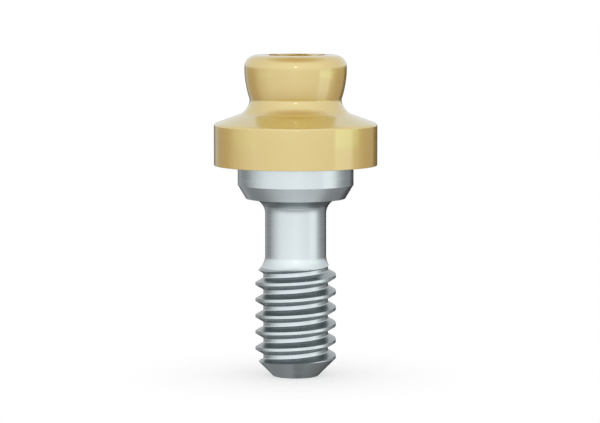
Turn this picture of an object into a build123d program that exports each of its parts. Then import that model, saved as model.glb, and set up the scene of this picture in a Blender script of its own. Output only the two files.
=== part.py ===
"""A screw-retained dental abutment with a snap head, turned from one bar of titanium alloy.

All sizes are in millimetres. The origin is on the axis, in the plane of the collar's underside,
which is the face that seats on the implant. +Z is the abutment's own axis and points to the head.
"""
from build123d import *
import math
import os

# Collar: z = 0 is its underside, the seat
collar_diameter = 4.00
collar_top_angle = 20.0
collar_edge_radius = 0.07

# Neck: the concave sweep that carries the collar's cone up to the head
neck_diameter = 2.25
neck_height = 1.62
neck_sweep_radius = 0.41

# Snap head: a short round band, tapering in to the neck below
head_diameter = 2.50
head_height = 2.695
head_band_foot = 2.32
head_corner_radius = 0.29

# Drive socket: a hexagon broached over a drilled pilot hole with a lead-in
socket_across_flats = 1.38
socket_depth = 1.10
socket_turn = 21.7
pilot_diameter = 1.32
lead_in_diameter = 1.46
lead_in_angle = 90.0
drill_point_angle = 118.0

# Spigot: the short plug under the collar that centres the abutment in the implant
spigot_diameter = 2.84
spigot_side = 0.48
spigot_length = 0.815
spigot_end_diameter = 2.44

# Shank between the spigot and the thread
shank_diameter = 1.50
shank_top_radius = 0.37
shank_foot_radius = 0.45

# Thread: ISO metric M2 x 0.4, right-handed, below a 45 degree shoulder, with a 45 degree tip
thread_diameter = 1.98
thread_pitch = 0.40
thread_flank_angle = 60.0
thread_depth = 0.195
thread_crest_width = 0.07
thread_root_round = 0.03
shoulder_depth = 2.66
first_root_depth = 2.52
tip_depth = 5.20
tip_flat_diameter = 1.11

# Radii of the outline
collar_r = collar_diameter / 2
neck_r = neck_diameter / 2
head_r = head_diameter / 2
spigot_r = spigot_diameter / 2
spigot_end_r = spigot_end_diameter / 2
shank_r = shank_diameter / 2
thread_r = thread_diameter / 2
tip_r = tip_flat_diameter / 2
pilot_r = pilot_diameter / 2

# Groove of the thread: its mouth leaves the crest's width, and its flanks close in on the root
flank_slope = math.tan(math.radians(thread_flank_angle / 2))
mouth_half_width = (thread_pitch - thread_crest_width) / 2
root_half_width = mouth_half_width - thread_depth * flank_slope
root_r = thread_r - thread_depth

# The groove's section stands a little proud of the thread, so that it cuts right through the crest
clear_r = thread_r + 0.03
clear_half_width = mouth_half_width + (clear_r - thread_r) * flank_slope

# The groove is cut a turn at a time, from its end in the tip's chamfer, which lies a little way
# round from +X, until it runs out above the shoulder, where the shank is thinner than its root
groove_end_turn = 15.0
groove_end_z = -first_root_depth + (groove_end_turn / 360 - 6) * thread_pitch
groove_turns = 7
out_of_axis = Vector(1, 0, 0).rotate(Axis.Z, groove_end_turn)
back_along_groove = Vector(0, -1, 0).rotate(Axis.Z, groove_end_turn)

with BuildPart() as abutment:
    # The turned blank, from half of its section
    with BuildSketch(Plane.XZ):
        with BuildLine():
            head = FilletPolyline(
                (0, head_height),
                (head_r, head_height),
                (head_r, head_band_foot),
                radius=[head_corner_radius],
            )
            taper = TangentArc(head @ 1, (neck_r, neck_height), tangent=(0, -1))
            neck = JernArc(
                start=taper @ 1,
                tangent=(0, -1),
                radius=neck_sweep_radius,
                arc_size=90 - collar_top_angle,
            )
            cone_top = neck @ 1
            cone_drop = (collar_r - cone_top.X) * math.tan(math.radians(collar_top_angle))
            lower = FilletPolyline(
                (cone_top.X, cone_top.Y),
                (collar_r, cone_top.Y - cone_drop),
                (collar_r, 0),
                (spigot_r, 0),
                (spigot_r, -spigot_side),
                (spigot_end_r, -spigot_length),
                (shank_r, -spigot_length),
                (shank_r, -shoulder_depth + (thread_r - shank_r)),
                (thread_r, -shoulder_depth),
                (thread_r, -tip_depth + (thread_r - tip_r)),
                (tip_r, -tip_depth),
                (0, -tip_depth),
                radius=[collar_edge_radius, 0, 0, 0, 0, shank_top_radius, shank_foot_radius, 0, 0, 0],
            )
            Line(lower @ 1, head @ 0)
        make_face()
    revolve(axis=Axis.Z)

    # Drive socket: the pilot hole and its lead-in, the drill point, then the hexagon
    with Locations(abutment.faces().sort_by(Axis.Z)[-1]):
        CounterSinkHole(
            radius=pilot_r,
            counter_sink_radius=lead_in_diameter / 2,
            depth=socket_depth,
            counter_sink_angle=lead_in_angle,
        )
    with Locations((0, 0, head_height - socket_depth)):
        Cone(
            bottom_radius=0,
            top_radius=pilot_r,
            height=pilot_r / math.tan(math.radians(drill_point_angle / 2)),
            align=(Align.CENTER, Align.CENTER, Align.MAX),
            mode=Mode.SUBTRACT,
        )
    with BuildSketch(Plane.XY.offset(head_height)):
        RegularPolygon(
            radius=socket_across_flats / 2,
            side_count=6,
            major_radius=False,
            rotation=socket_turn,
        )
    extrude(amount=-socket_depth, mode=Mode.SUBTRACT)

    # Thread: each turn of the groove is its section swept along one turn of the helix
    for turn in range(groove_turns):
        turn_z = groove_end_z + turn * thread_pitch
        with BuildLine():
            helix = Helix(
                pitch=thread_pitch,
                height=thread_pitch,
                radius=thread_r,
                center=(0, 0, turn_z),
                mode=Mode.PRIVATE,
            )
            add(helix.rotate(Axis.Z, groove_end_turn))
        with BuildSketch(Plane((0, 0, turn_z), x_dir=out_of_axis, z_dir=back_along_groove)):
            with BuildLine():
                flanks = FilletPolyline(
                    (clear_r, clear_half_width),
                    (root_r, root_half_width),
                    (root_r, -root_half_width),
                    (clear_r, -clear_half_width),
                    radius=thread_root_round,
                )
                Line(flanks @ 1, flanks @ 0)
            make_face()
        sweep(is_frenet=True, mode=Mode.SUBTRACT)

abutment.part.label = "abutment"

os.makedirs("parts", exist_ok=True)
export_step(abutment.part, "parts/abutment.step")
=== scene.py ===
"""Looks of a turned dental abutment: its smooth metal form, its two finishes and a light tent."""
import bpy
import math
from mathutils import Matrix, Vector


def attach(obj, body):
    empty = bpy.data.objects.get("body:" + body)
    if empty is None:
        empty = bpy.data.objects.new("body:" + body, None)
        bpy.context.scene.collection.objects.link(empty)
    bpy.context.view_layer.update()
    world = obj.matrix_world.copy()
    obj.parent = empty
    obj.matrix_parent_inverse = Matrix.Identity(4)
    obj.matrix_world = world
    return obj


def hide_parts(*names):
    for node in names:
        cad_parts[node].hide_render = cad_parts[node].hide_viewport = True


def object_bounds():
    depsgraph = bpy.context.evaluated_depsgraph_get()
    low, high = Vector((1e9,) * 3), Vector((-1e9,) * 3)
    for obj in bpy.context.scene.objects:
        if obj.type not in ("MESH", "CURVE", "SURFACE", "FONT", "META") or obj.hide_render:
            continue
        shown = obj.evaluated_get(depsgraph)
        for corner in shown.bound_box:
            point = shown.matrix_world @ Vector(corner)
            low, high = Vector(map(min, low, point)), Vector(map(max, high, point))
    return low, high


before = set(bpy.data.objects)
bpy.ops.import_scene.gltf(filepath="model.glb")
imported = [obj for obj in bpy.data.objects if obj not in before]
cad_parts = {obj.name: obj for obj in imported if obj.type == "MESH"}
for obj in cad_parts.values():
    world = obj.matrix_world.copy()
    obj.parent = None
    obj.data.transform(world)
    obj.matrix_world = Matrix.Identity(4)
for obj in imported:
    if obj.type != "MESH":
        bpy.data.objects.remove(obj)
cad_low, cad_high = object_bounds()

# The abutment is turned from one bar of titanium alloy, from the drilled head down to the
# chamfered tip. Its outline is drawn in millimetres, rounded at its corners and spun round +Z.
MM = 0.001
facets_round = 256
facets_a_rounding = 12
merge_distance = 1e-5

# Collar and neck, from the seat up
collar_r = 2.00
collar_slope = math.radians(20)
collar_rounding = 0.07
neck_r = 1.125
neck_height = 1.62
neck_sweep = 0.41
neck_crease_rounding = 0.03
# The neck's sweep is drawn a little tighter, to leave room for the blend of the crease above it
crease_room = 0.01

# Snap head, and the hole drilled into it
head_r = 1.25
head_height = 2.695
head_band_foot = 2.32
head_rounding = 0.29
socket_depth = 1.10
pilot_r = 0.66
lead_in_r = 0.73
drill_point_slope = math.radians(31)

# Spigot and shank, from the seat down
spigot_r = 1.42
spigot_side = 0.48
spigot_length = 0.815
spigot_end_r = 1.22
shank_r = 0.75
shank_top_rounding = 0.37
shank_foot_rounding = 0.45

# Blank of the thread, with its chamfered tip, and the break on the blank's sharp outer edges
thread_r = 0.99
shoulder_depth = 2.66
tip_depth = 5.20
tip_r = 0.555
edge_break = 0.012

neck_corner = neck_height - neck_sweep * math.tan((math.pi / 2 - collar_slope) / 2)
collar_top = neck_corner - (collar_r - neck_r) * math.tan(collar_slope)
taper_r = ((head_band_foot - neck_height) ** 2 + (head_r - neck_r) ** 2) / (2 * (head_r - neck_r))
taper_turn = math.asin((head_band_foot - neck_height) / taper_r)
taper_corner = head_band_foot - taper_r * math.tan(taper_turn / 2)
socket_floor = head_height - socket_depth

# Each corner of the outline: its radius from the axis, its height, and the radius it is rounded to
outline = [
    (0.0, socket_floor - pilot_r * math.tan(drill_point_slope), 0),
    (pilot_r, socket_floor, 0),
    (pilot_r, head_height - (lead_in_r - pilot_r), 0),
    (lead_in_r, head_height, edge_break),
    (head_r, head_height, head_rounding),
    (head_r, taper_corner, taper_r),
    (neck_r, neck_height, neck_crease_rounding),
    (neck_r, neck_corner, neck_sweep - crease_room),
    (collar_r, collar_top, collar_rounding),
    (collar_r, 0.0, edge_break),
    (spigot_r, 0.0, 0),
    (spigot_r, -spigot_side, edge_break),
    (spigot_end_r, -spigot_length, edge_break),
    (shank_r, -spigot_length, shank_top_rounding),
    (shank_r, -shoulder_depth + (thread_r - shank_r), shank_foot_rounding),
    (thread_r, -shoulder_depth, edge_break),
    (thread_r, -tip_depth + (thread_r - tip_r), edge_break),
    (tip_r, -tip_depth, edge_break),
    (0.0, -tip_depth, 0),
]


def select_where(piece, test):
    """Selects the vertices of the piece that pass the test, in edit mode."""
    bpy.ops.object.mode_set(mode="EDIT")
    bpy.ops.mesh.select_mode(type="VERT")
    bpy.ops.mesh.select_all(action="DESELECT")
    bpy.ops.object.mode_set(mode="OBJECT")
    for vertex in piece.data.vertices:
        vertex.select = test(vertex.co)
    bpy.ops.object.mode_set(mode="EDIT")


def draw_outline(name, corners):
    """A chain of edges through the corners, in the plane y = 0, rounded where they say."""
    bpy.ops.object.select_all(action="DESELECT")
    bpy.ops.mesh.primitive_plane_add(size=1)
    piece = bpy.context.object
    piece.name = name
    bpy.ops.object.mode_set(mode="EDIT")
    bpy.ops.mesh.merge(type="CENTER")
    places = [Vector((r, 0, z)) for r, z, _ in corners]
    bpy.ops.transform.translate(value=places[0])
    for here, there in zip(places, places[1:]):
        bpy.ops.mesh.extrude_region_move(TRANSFORM_OT_translate={"value": there - here})
    for i in range(1, len(corners) - 1):
        rounding = corners[i][2]
        if rounding == 0:
            continue
        turn = (places[i] - places[i - 1]).angle(places[i + 1] - places[i])
        select_where(piece, lambda co: (co - places[i]).length < merge_distance)
        bpy.ops.mesh.bevel(
            offset=rounding * math.tan(turn / 2),
            offset_type="OFFSET",
            segments=facets_a_rounding,
            affect="VERTICES",
            clamp_overlap=False,
        )
    bpy.ops.object.mode_set(mode="OBJECT")
    return piece


abutment = draw_outline("turned_abutment", outline)
bpy.ops.object.mode_set(mode="EDIT")
bpy.ops.mesh.select_all(action="SELECT")
bpy.ops.mesh.spin(steps=facets_round, angle=2 * math.pi, center=(0, 0, 0), axis=(0, 0, 1))
bpy.ops.mesh.select_all(action="SELECT")
bpy.ops.mesh.remove_doubles(threshold=merge_distance)
bpy.ops.mesh.normals_make_consistent(inside=False)
bpy.ops.object.mode_set(mode="OBJECT")

# The drive socket is a hexagon broached into the drilled hole, 1.38 mm across its flats.
# The broach leaves sharp corners that reach past the lead-in.
socket_across_flats = 1.38
socket_turn = math.radians(21.7)
broach_rise = 0.5


def cut(piece, cutter):
    """Cuts the cutter's shape out of the piece and removes the cutter."""
    bpy.ops.object.select_all(action="DESELECT")
    piece.select_set(True)
    bpy.context.view_layer.objects.active = piece
    boolean = piece.modifiers.new("cut", "BOOLEAN")
    boolean.operation = "DIFFERENCE"
    boolean.solver = "EXACT"
    boolean.object = cutter
    bpy.ops.object.modifier_apply(modifier=boolean.name)
    bpy.data.objects.remove(cutter)


bpy.ops.object.select_all(action="DESELECT")
bpy.ops.mesh.primitive_cylinder_add(
    vertices=6,
    radius=socket_across_flats / math.sqrt(3),
    depth=socket_depth + broach_rise,
    location=(0, 0, head_height + (broach_rise - socket_depth) / 2),
    rotation=(0, 0, socket_turn - math.pi / 6),
)
broach = bpy.context.object
cut(abutment, broach)

# The thread is M2 x 0.4, right-handed, cut by one 60 degree tool that follows a helix. The groove
# ends in the tip's chamfer, a little way round from +X, and runs out above the shoulder, where the
# shank is thinner than the groove's root.
thread_pitch = 0.40
thread_depth = 0.195
crest_width = 0.07
root_rounding = 0.03
first_root_depth = 2.52
turns_to_first_root = 6
groove_turns = 7
groove_end_turn = math.radians(15)
steps_a_turn = 160

# The tool's mouth leaves the crest's width, and it stands a little proud of the thread
flank_slope = math.tan(math.radians(30))
tool_proud = 0.03
mouth_half = (thread_pitch - crest_width) / 2
root_half = mouth_half - thread_depth * flank_slope
root_r = thread_r - thread_depth
clear_r = thread_r + tool_proud
clear_half = mouth_half + tool_proud * flank_slope
tool_z = -first_root_depth + (groove_end_turn / (2 * math.pi) - turns_to_first_root) * thread_pitch
tool_corners = [
    (clear_r, tool_z + clear_half, 0),
    (root_r, tool_z + root_half, root_rounding),
    (root_r, tool_z - root_half, root_rounding),
    (clear_r, tool_z - clear_half, 0),
]

# The tool's outline is closed to a loop and carried along the helix, and its two ends are capped
tool = draw_outline("thread_tool", tool_corners)
bpy.ops.object.mode_set(mode="EDIT")
bpy.ops.mesh.select_all(action="SELECT")
bpy.ops.mesh.edge_face_add()
bpy.ops.mesh.select_all(action="SELECT")
bpy.ops.mesh.delete(type="ONLY_FACE")
bpy.ops.object.mode_set(mode="OBJECT")
screw = tool.modifiers.new("helix", "SCREW")
screw.axis = "Z"
screw.angle = 2 * math.pi
screw.screw_offset = thread_pitch
screw.iterations = groove_turns
screw.steps = steps_a_turn
screw.render_steps = steps_a_turn
screw.use_merge_vertices = False
bpy.ops.object.modifier_apply(modifier=screw.name)
bpy.ops.object.mode_set(mode="EDIT")
bpy.ops.mesh.select_all(action="SELECT")
bpy.ops.mesh.remove_doubles(threshold=merge_distance)
bpy.ops.mesh.select_all(action="SELECT")
bpy.ops.mesh.fill_holes(sides=0)
bpy.ops.mesh.select_all(action="SELECT")
bpy.ops.mesh.normals_make_consistent(inside=False)
bpy.ops.object.mode_set(mode="OBJECT")
tool.rotation_euler.z = groove_end_turn
cut(abutment, tool)

# The cut piece goes from millimetres to metres, with its edges sharp and its curves smooth
sharpest_smooth_angle = math.radians(14)
bpy.ops.object.select_all(action="DESELECT")
abutment.select_set(True)
bpy.context.view_layer.objects.active = abutment
bpy.ops.object.mode_set(mode="EDIT")
bpy.ops.mesh.select_all(action="SELECT")
bpy.ops.mesh.remove_doubles(threshold=merge_distance)
bpy.ops.object.mode_set(mode="OBJECT")
abutment.scale = (MM, MM, MM)
bpy.ops.object.transform_apply(location=True, rotation=True, scale=True)
bpy.ops.object.shade_smooth_by_angle(angle=sharpest_smooth_angle)

# Gold finish: a thin titanium nitride coating on the head and the collar, polished so that the
# snap slides. The eye gets a warm, slightly milky body colour under a glassy gloss that is a
# little green, with faint rings left by the lathe.


def linear(hex_colour):
    """A colour written as sRGB hex, such as D9CA8F, turned to the linear values that nodes take."""
    levels = [int(hex_colour[i : i + 2], 16) / 255 for i in (0, 2, 4)]
    return [v / 12.92 if v <= 0.04045 else ((v + 0.055) / 1.055) ** 2.4 for v in levels] + [1]


def add_node(tree, kind, settings=None, values=None, links=None):
    """Adds a node, sets its settings and input values, and links other nodes' sockets to it."""
    node = tree.nodes.new(kind)
    for name, setting in (settings or {}).items():
        setattr(node, name, setting)
    for key, value in (values or {}).items():
        node.inputs[key].default_value = value
    for key, socket in (links or {}).items():
        tree.links.new(socket, node.inputs[key])
    return node


def new_finish(name, base_colour):
    """A new material of one base colour. Returns it with its node tree and its shader."""
    finish = bpy.data.materials.new(name)
    finish.use_nodes = True
    shader = finish.node_tree.nodes["Principled BSDF"]
    shader.inputs["Base Color"].default_value = linear(base_colour)
    return finish, finish.node_tree, shader


def turn_rings(tree, spacing, length, detail, smoothest, roughest):
    """Lays the lathe's rings on a finish, where they vary its roughness. Returns their height."""
    place = add_node(tree, "ShaderNodeTexCoord")
    stretch = add_node(
        tree,
        "ShaderNodeMapping",
        values={"Scale": (1 / length, 1 / length, 1 / spacing)},
        links={"Vector": place.outputs["Object"]},
    )
    rings = add_node(
        tree, "ShaderNodeTexNoise", values={"Scale": 1.0, "Detail": detail}, links={0: stretch.outputs[0]}
    )
    roughness = add_node(
        tree,
        "ShaderNodeMapRange",
        values={"From Min": 0.3, "From Max": 0.7, "To Min": smoothest, "To Max": roughest},
        links={"Value": rings.outputs[0]},
    )
    tree.links.new(roughness.outputs[0], tree.nodes["Principled BSDF"].inputs["Roughness"])
    return rings.outputs[0]


gold, tree, shader = new_finish("polished_titanium_nitride", "BB9341")
shader.inputs["Metallic"].default_value = 0.1
shader.inputs["Specular IOR Level"].default_value = 1.0
shader.inputs["Specular Tint"].default_value = (0.1, 1.0, 0.3, 1)
shader.inputs["Coat Weight"].default_value = 1.0
shader.inputs["Coat Roughness"].default_value = 0.07
shader.inputs["Coat IOR"].default_value = 2.2
# The real rings are finer than a pixel, so they are drawn 0.05 mm apart
gold_ring_spacing = 0.05 * MM
gold_ring_length = 10 / 3 * MM
turn_rings(tree, gold_ring_spacing, gold_ring_length, detail=2.0, smoothest=0.16, roughest=0.26)

# Bare finish: machined titanium alloy, passivated to a satin grey that is slightly cool. The
# lathe's rings, drawn 0.04 mm apart because the real ones are too fine to show, blur its
# reflections up and down more than round.
titanium, tree, shader = new_finish("turned_titanium_alloy", "BCC4C7")
shader.inputs["Metallic"].default_value = 1.0
ring_spacing = 0.04 * MM
ring_length = 2.5 * MM
ring_height = 0.0002 * MM
rings = turn_rings(tree, ring_spacing, ring_length, detail=3.0, smoothest=0.24, roughest=0.30)
ridges = add_node(
    tree, "ShaderNodeBump", values={"Strength": 1.0, "Distance": ring_height}, links={"Height": rings}
)
tree.links.new(ridges.outputs[0], shader.inputs["Normal"])

# Painted shade: the thread's flanks and the corner under the spigot get a darker copy of the bare titanium,
# standing for the shade that falls in the grooves and under the spigot. It parts the bright crests and roots
# with dark bands.
shade_painted_titanium = titanium.copy()
shade_painted_titanium.name = "thread_painted_shade_titanium_alloy"
shader = shade_painted_titanium.node_tree.nodes["Principled BSDF"]
# Darker base colour: painted shade for the thread's grooves and the corner under the spigot
shader.inputs["Base Color"].default_value = linear("969EA1")

# Where each finish and the painted shade lie, by height above the seat, reach from the axis and lean of the
# surface
coating_foot = 0.001
flank_top = -2.5
least_flank_lean = 0.4
most_flank_lean = 0.95
cone_clearance = 0.01
corner_height = 0.2
corner_lean = -0.4

GOLD, BARE, PAINTED_SHADE = range(3)
for finish in (gold, titanium, shade_painted_titanium):
    abutment.data.materials.append(finish)
for face in abutment.data.polygons:
    reach = math.hypot(face.center.x, face.center.y) / MM
    height = face.center.z / MM
    lean = face.normal.z
    tip_cone_height = reach - tip_r - tip_depth
    on_flank = (
        tip_cone_height + cone_clearance < height < flank_top
        and root_r < reach < thread_r - edge_break
        and least_flank_lean < abs(lean) < most_flank_lean
    )
    in_corner = -spigot_length - corner_height < height < -spigot_length and lean < corner_lean
    if height > coating_foot:
        face.material_index = GOLD
    else:
        # The flanks and the corner under the spigot take the painted shade
        face.material_index = PAINTED_SHADE if on_flank or in_corner else BARE

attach(abutment, "root")
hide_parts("abutment")

# The floor is a round sheet of matte white card that the abutment's tip stands on. It thins out
# towards its rim, so that it passes into the white backdrop with no line, and the polished metal
# reflects the tent and not the card.
floor_r = 5 * MM
floor_cover = 0.6
bpy.ops.object.select_all(action="DESELECT")
bpy.ops.mesh.primitive_circle_add(
    vertices=96, radius=floor_r, fill_type="NGON", location=(0, 0, cad_low[2])
)
floor = bpy.context.object
floor.name = "floor"
card, tree, shader = new_finish("matte_white_card", "DCDCDC")
shader.inputs["Roughness"].default_value = 0.6
shader.inputs["Specular IOR Level"].default_value = 0.1
place = add_node(tree, "ShaderNodeTexCoord")
from_foot = add_node(
    tree,
    "ShaderNodeMapping",
    values={"Scale": (1 / floor_r, 1 / floor_r, 1 / floor_r)},
    links={"Vector": place.outputs["Object"]},
)
fade = add_node(
    tree, "ShaderNodeTexGradient", {"gradient_type": "QUADRATIC_SPHERE"}, links={0: from_foot.outputs[0]}
)
cover = add_node(tree, "ShaderNodeMath", {"operation": "MULTIPLY"}, {1: floor_cover}, {0: fade.outputs[1]})
tree.links.new(cover.outputs[0], shader.inputs["Alpha"])
floor.data.materials.append(card)
floor.visible_glossy = False

# The studio is a light tent: a bright wall in front, dim sides and a dark gap behind, under a
# bright sloping ceiling with a dim crown. The camera sees it as a plain white backdrop.
tent_strength = 1.35
ceiling_in_front = 1.05
ceiling_behind = 0.5

world = bpy.data.worlds.new("light_tent")
bpy.context.scene.world = world
world.use_nodes = True
tree = world.node_tree
tree.nodes.clear()


def set_stops(ramp, stops):
    """Gives a colour ramp its stops: position, level and cover of each."""
    while len(ramp.elements) > 1:
        ramp.elements.remove(ramp.elements[0])
    for i, (position, level, cover) in enumerate(stops):
        stop = ramp.elements[0] if i == 0 else ramp.elements.new(position)
        stop.position = position
        stop.color = (level, level, level, cover)


way = add_node(tree, "ShaderNodeTexCoord")
axes = add_node(tree, "ShaderNodeSeparateXYZ", links={0: way.outputs["Generated"]})
front = add_node(tree, "ShaderNodeMath", {"operation": "MULTIPLY"}, {1: -1.0}, {0: axes.outputs["Y"]})
angle = add_node(
    tree, "ShaderNodeMath", {"operation": "ARCTAN2"}, links={0: axes.outputs["X"], 1: front.outputs[0]}
)
share = add_node(
    tree,
    "ShaderNodeMapRange",
    values={"From Min": -math.pi, "From Max": math.pi},
    links={"Value": angle.outputs[0]},
)
wall = add_node(tree, "ShaderNodeValToRGB", links={0: share.outputs[0]})
# Degrees round the tent from the camera, to its right, and the brightness of the wall there
tent_wall = [
    (-180, 0.05), (-162, 0.10), (-150, 0.42), (-135, 0.25), (-112, 0.25), (-88, 0.62),
    (-60, 0.95), (0, 1.05), (56, 0.93), (58, 1.15), (84, 1.0), (90, 0.55), (112, 0.25), (140, 0.22),
    (144, 0.03), (170, 0.03), (180, 0.05),
]
set_stops(wall.color_ramp, [((degrees + 180) / 360, level, 1) for degrees, level in tent_wall])
# Degrees above the horizon, the brightness of the ceiling there, and how much of the wall it covers
ceiling = [
    (-90, 0.3, 0.3), (-45, 0.3, 0.8), (-20, 0.5, 0.0), (-1.5, 1.25, 0.0), (3, 1.25, 1.0),
    (50, 1.25, 1.0), (68, 0.6, 1.0), (90, 0.4, 1.0),
]
rise = add_node(tree, "ShaderNodeMapRange", values={"From Min": -1.0}, links={"Value": axes.outputs["Z"]})
sky = add_node(tree, "ShaderNodeValToRGB", links={0: rise.outputs[0]})
set_stops(
    sky.color_ramp,
    [((math.sin(math.radians(degrees)) + 1) / 2, level, cover) for degrees, level, cover in ceiling],
)
# The ceiling is dimmer behind the abutment than over the camera
depth = add_node(
    tree,
    "ShaderNodeMapRange",
    values={"From Min": -1.0, "To Min": ceiling_in_front, "To Max": ceiling_behind},
    links={"Value": axes.outputs["Y"]},
)
ceiling_level = add_node(
    tree, "ShaderNodeMath", {"operation": "MULTIPLY"}, links={0: sky.outputs[0], 1: depth.outputs[0]}
)
tent_colour = add_node(
    tree,
    "ShaderNodeMix",
    {"data_type": "RGBA"},
    links={0: sky.outputs["Alpha"], 6: wall.outputs[0], 7: ceiling_level.outputs[0]},
)
shine = add_node(
    tree, "ShaderNodeBackground", values={"Strength": tent_strength}, links={"Color": tent_colour.outputs[2]}
)
backdrop = add_node(tree, "ShaderNodeBackground", values={"Color": (1, 1, 1, 1)})
path = add_node(tree, "ShaderNodeLightPath")
mix = add_node(
    tree,
    "ShaderNodeMixShader",
    links={0: path.outputs["Is Camera Ray"], 1: shine.outputs[0], 2: backdrop.outputs[0]},
)
add_node(tree, "ShaderNodeOutputWorld", links={"Surface": mix.outputs[0]})

# A small round lamp a little over the camera gives each rounding on the front its bright spot.
# It stands 80 mm from the abutment, and its power is in watts.
lamp_distance = 80 * MM
lamp_rise = math.radians(14)
lamp_width = 6 * MM
lamp_power = 0.0006
bpy.ops.object.light_add(
    type="AREA",
    location=lamp_distance * Vector((0, -math.cos(lamp_rise), math.sin(lamp_rise))),
    rotation=(math.pi / 2 - lamp_rise, 0, 0),
)
lamp = bpy.context.object
lamp.data.shape = "DISK"
lamp.data.size = lamp_width
lamp.data.energy = lamp_power

# Two long soft lamps stand low at the sides, close to the abutment: their greenish light shows on
# the upper part of the collar and under the edge of the head, stronger on the right.
soft_lamp_turn = math.radians(73)
soft_lamp_distance = 12.5 * MM
soft_lamp_z = 0.8 * MM
soft_lamp_length = 9 * MM
soft_lamp_height = 2 * MM
soft_lamp_colour = (0.5, 1.0, 0.25)
right_power = 0.000022
left_power = 0.000008
for turn, power in ((soft_lamp_turn, right_power), (-soft_lamp_turn, left_power)):
    bpy.ops.object.light_add(
        type="AREA",
        location=(
            soft_lamp_distance * math.sin(turn), -soft_lamp_distance * math.cos(turn), soft_lamp_z
        ),
        rotation=(math.pi / 2, 0, turn),
    )
    soft_lamp = bpy.context.object
    soft_lamp.data.shape = "RECTANGLE"
    soft_lamp.data.size = soft_lamp_length
    soft_lamp.data.size_y = soft_lamp_height
    soft_lamp.data.energy = power
    soft_lamp.data.color = soft_lamp_colour

# The camera has a long lens. It stands 64 mm in front of the abutment and a little above it, and
# looks down on the middle of its height.
camera_distance = 64 * MM
camera_drop = math.radians(5.4)
camera_aim = Vector((0.107, 0, -1.144)) * MM
lens_length = 156.5
sensor_width = 36
bpy.ops.object.camera_add(
    location=camera_aim + camera_distance * Vector((0, -math.cos(camera_drop), math.sin(camera_drop))),
    rotation=(math.pi / 2 - camera_drop, 0, 0),
)
camera = bpy.context.object
camera.data.lens = lens_length
camera.data.sensor_width = sensor_width
camera.data.clip_start = 0.001
camera.data.clip_end = 10
bpy.context.scene.camera = camera
bpy.context.scene.view_settings.view_transform = "Standard"
